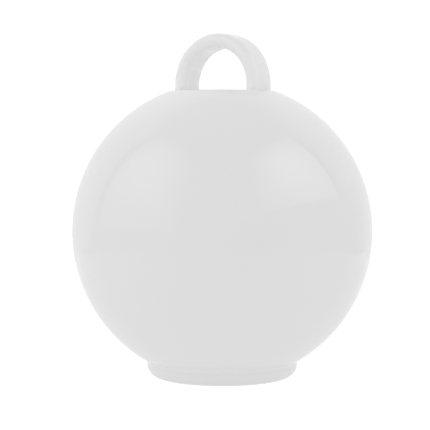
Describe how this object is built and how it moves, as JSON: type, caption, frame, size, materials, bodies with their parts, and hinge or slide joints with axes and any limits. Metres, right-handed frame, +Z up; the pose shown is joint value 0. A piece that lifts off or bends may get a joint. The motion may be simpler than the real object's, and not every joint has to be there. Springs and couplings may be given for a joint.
{
  "type": "balloon weight",
  "caption": "Ball-shaped balloon weight: a hollow gloss-white ball with a ribbon loop on its flat crown, filled with sand and closed by a push-in foot that it stands on.",
  "frame": {"origin": "centre of the standing ring under the foot, on the surface that the weight stands on", "axes": "+Z up along the ball's axis, through the middle of the loop; the loop spans X, and a ribbon is threaded along Y"},
  "size_m": [0.045, 0.045, 0.0514],
  "materials": {
    "shell_plastic": "gloss",
    "stopper_plastic": "gloss",
    "sand": "matte"
  },
  "bodies": {
    "base": {"base_stopper": "stopper_plastic"},
    "ball": {"ball_shell": "shell_plastic", "sand_ballast": "sand"}
  },
  "joints": [
    {"name": "ball_pull", "type": "slide", "parent": "base", "child": "ball", "axis": [0, 0, 1], "range_m": [0, 0.02]}
  ]
}
